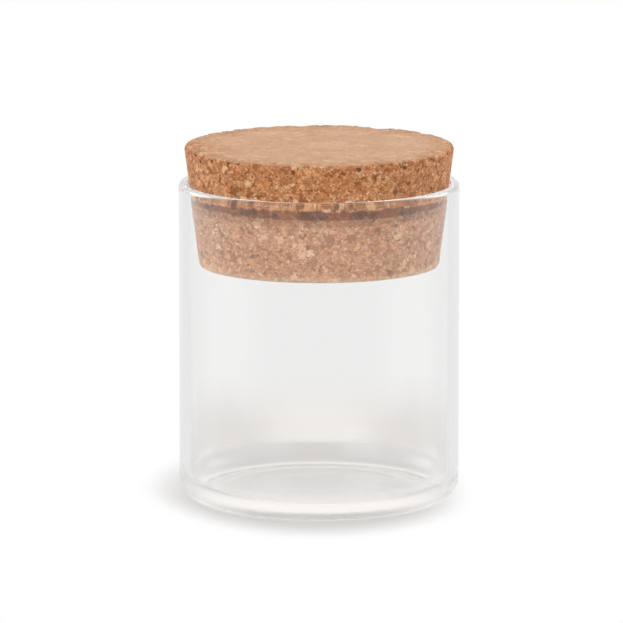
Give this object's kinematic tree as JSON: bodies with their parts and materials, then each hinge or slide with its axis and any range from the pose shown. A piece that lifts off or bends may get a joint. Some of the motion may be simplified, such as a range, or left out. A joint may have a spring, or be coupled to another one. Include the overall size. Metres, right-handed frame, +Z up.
{
  "type": "glass jar with cork lid",
  "caption": "Straight-sided clear glass storage jar with a rounded heel and a fire-polished rim, closed by a thick tapered cork lid that lifts off.",
  "frame": {"origin": "centre of the standing ring, on the plane the jar stands on", "axes": "+Z up along the axis of the jar and the cork; the part is round, so X and Y are any two directions across it"},
  "size_m": [0.06, 0.06, 0.0764],
  "materials": {
    "clear_glass": "gloss",
    "cork": "matte"
  },
  "bodies": {
    "jar": {"glass_jar": "clear_glass"},
    "lid": {"cork_lid": "cork"}
  },
  "joints": [
    {"name": "lid_lift", "type": "slide", "parent": "jar", "child": "lid", "axis": [0, 0, 1], "range_m": [0, 0.08]}
  ]
}
